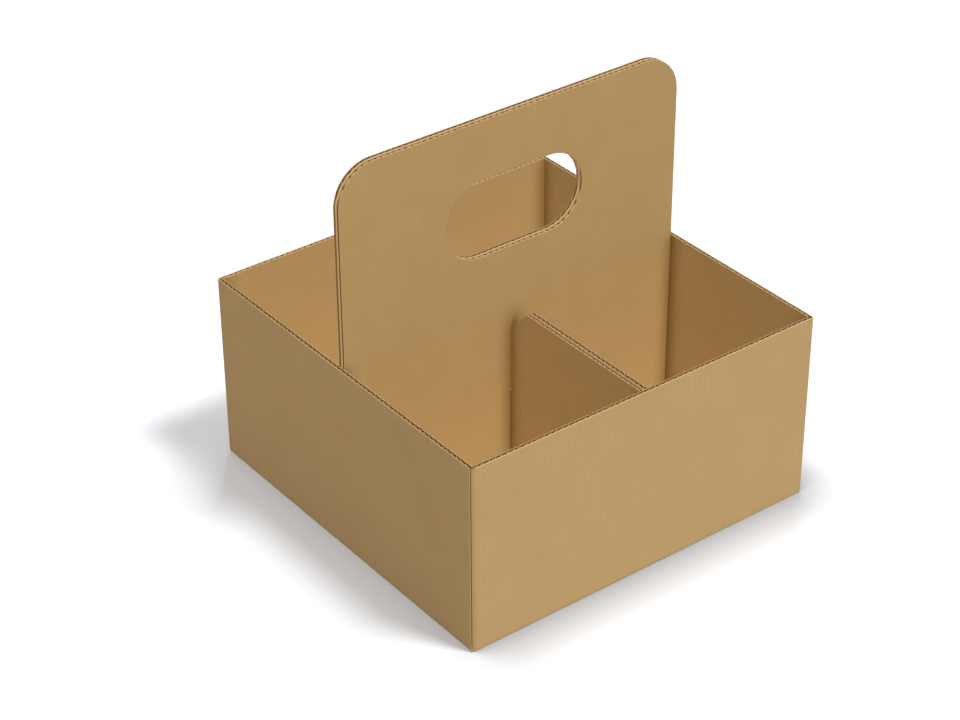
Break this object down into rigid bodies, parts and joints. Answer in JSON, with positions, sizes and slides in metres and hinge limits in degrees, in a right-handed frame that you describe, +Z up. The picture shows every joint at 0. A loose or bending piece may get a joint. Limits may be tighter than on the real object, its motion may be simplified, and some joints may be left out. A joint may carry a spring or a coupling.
{
  "type": "cup carrier",
  "caption": "Folded corrugated board cup carrier: square open tray with crossed dividers that make cup cells, and a tall central handle panel with rounded corners and a hand hole.",
  "frame": {"origin": "middle of the footprint, on the surface that the carrier stands on", "axes": "+Z up; X along the front wall and the handle panel, left wall at -X; Y from the front wall at -Y to the rear wall, along the divider"},
  "size_m": [0.2, 0.2, 0.2],
  "materials": {
    "kraft_board": "matte unbleached kraft liner"
  },
  "bodies": {
    "root": {"carrier": "kraft_board"}
  },
  "joints": []
}
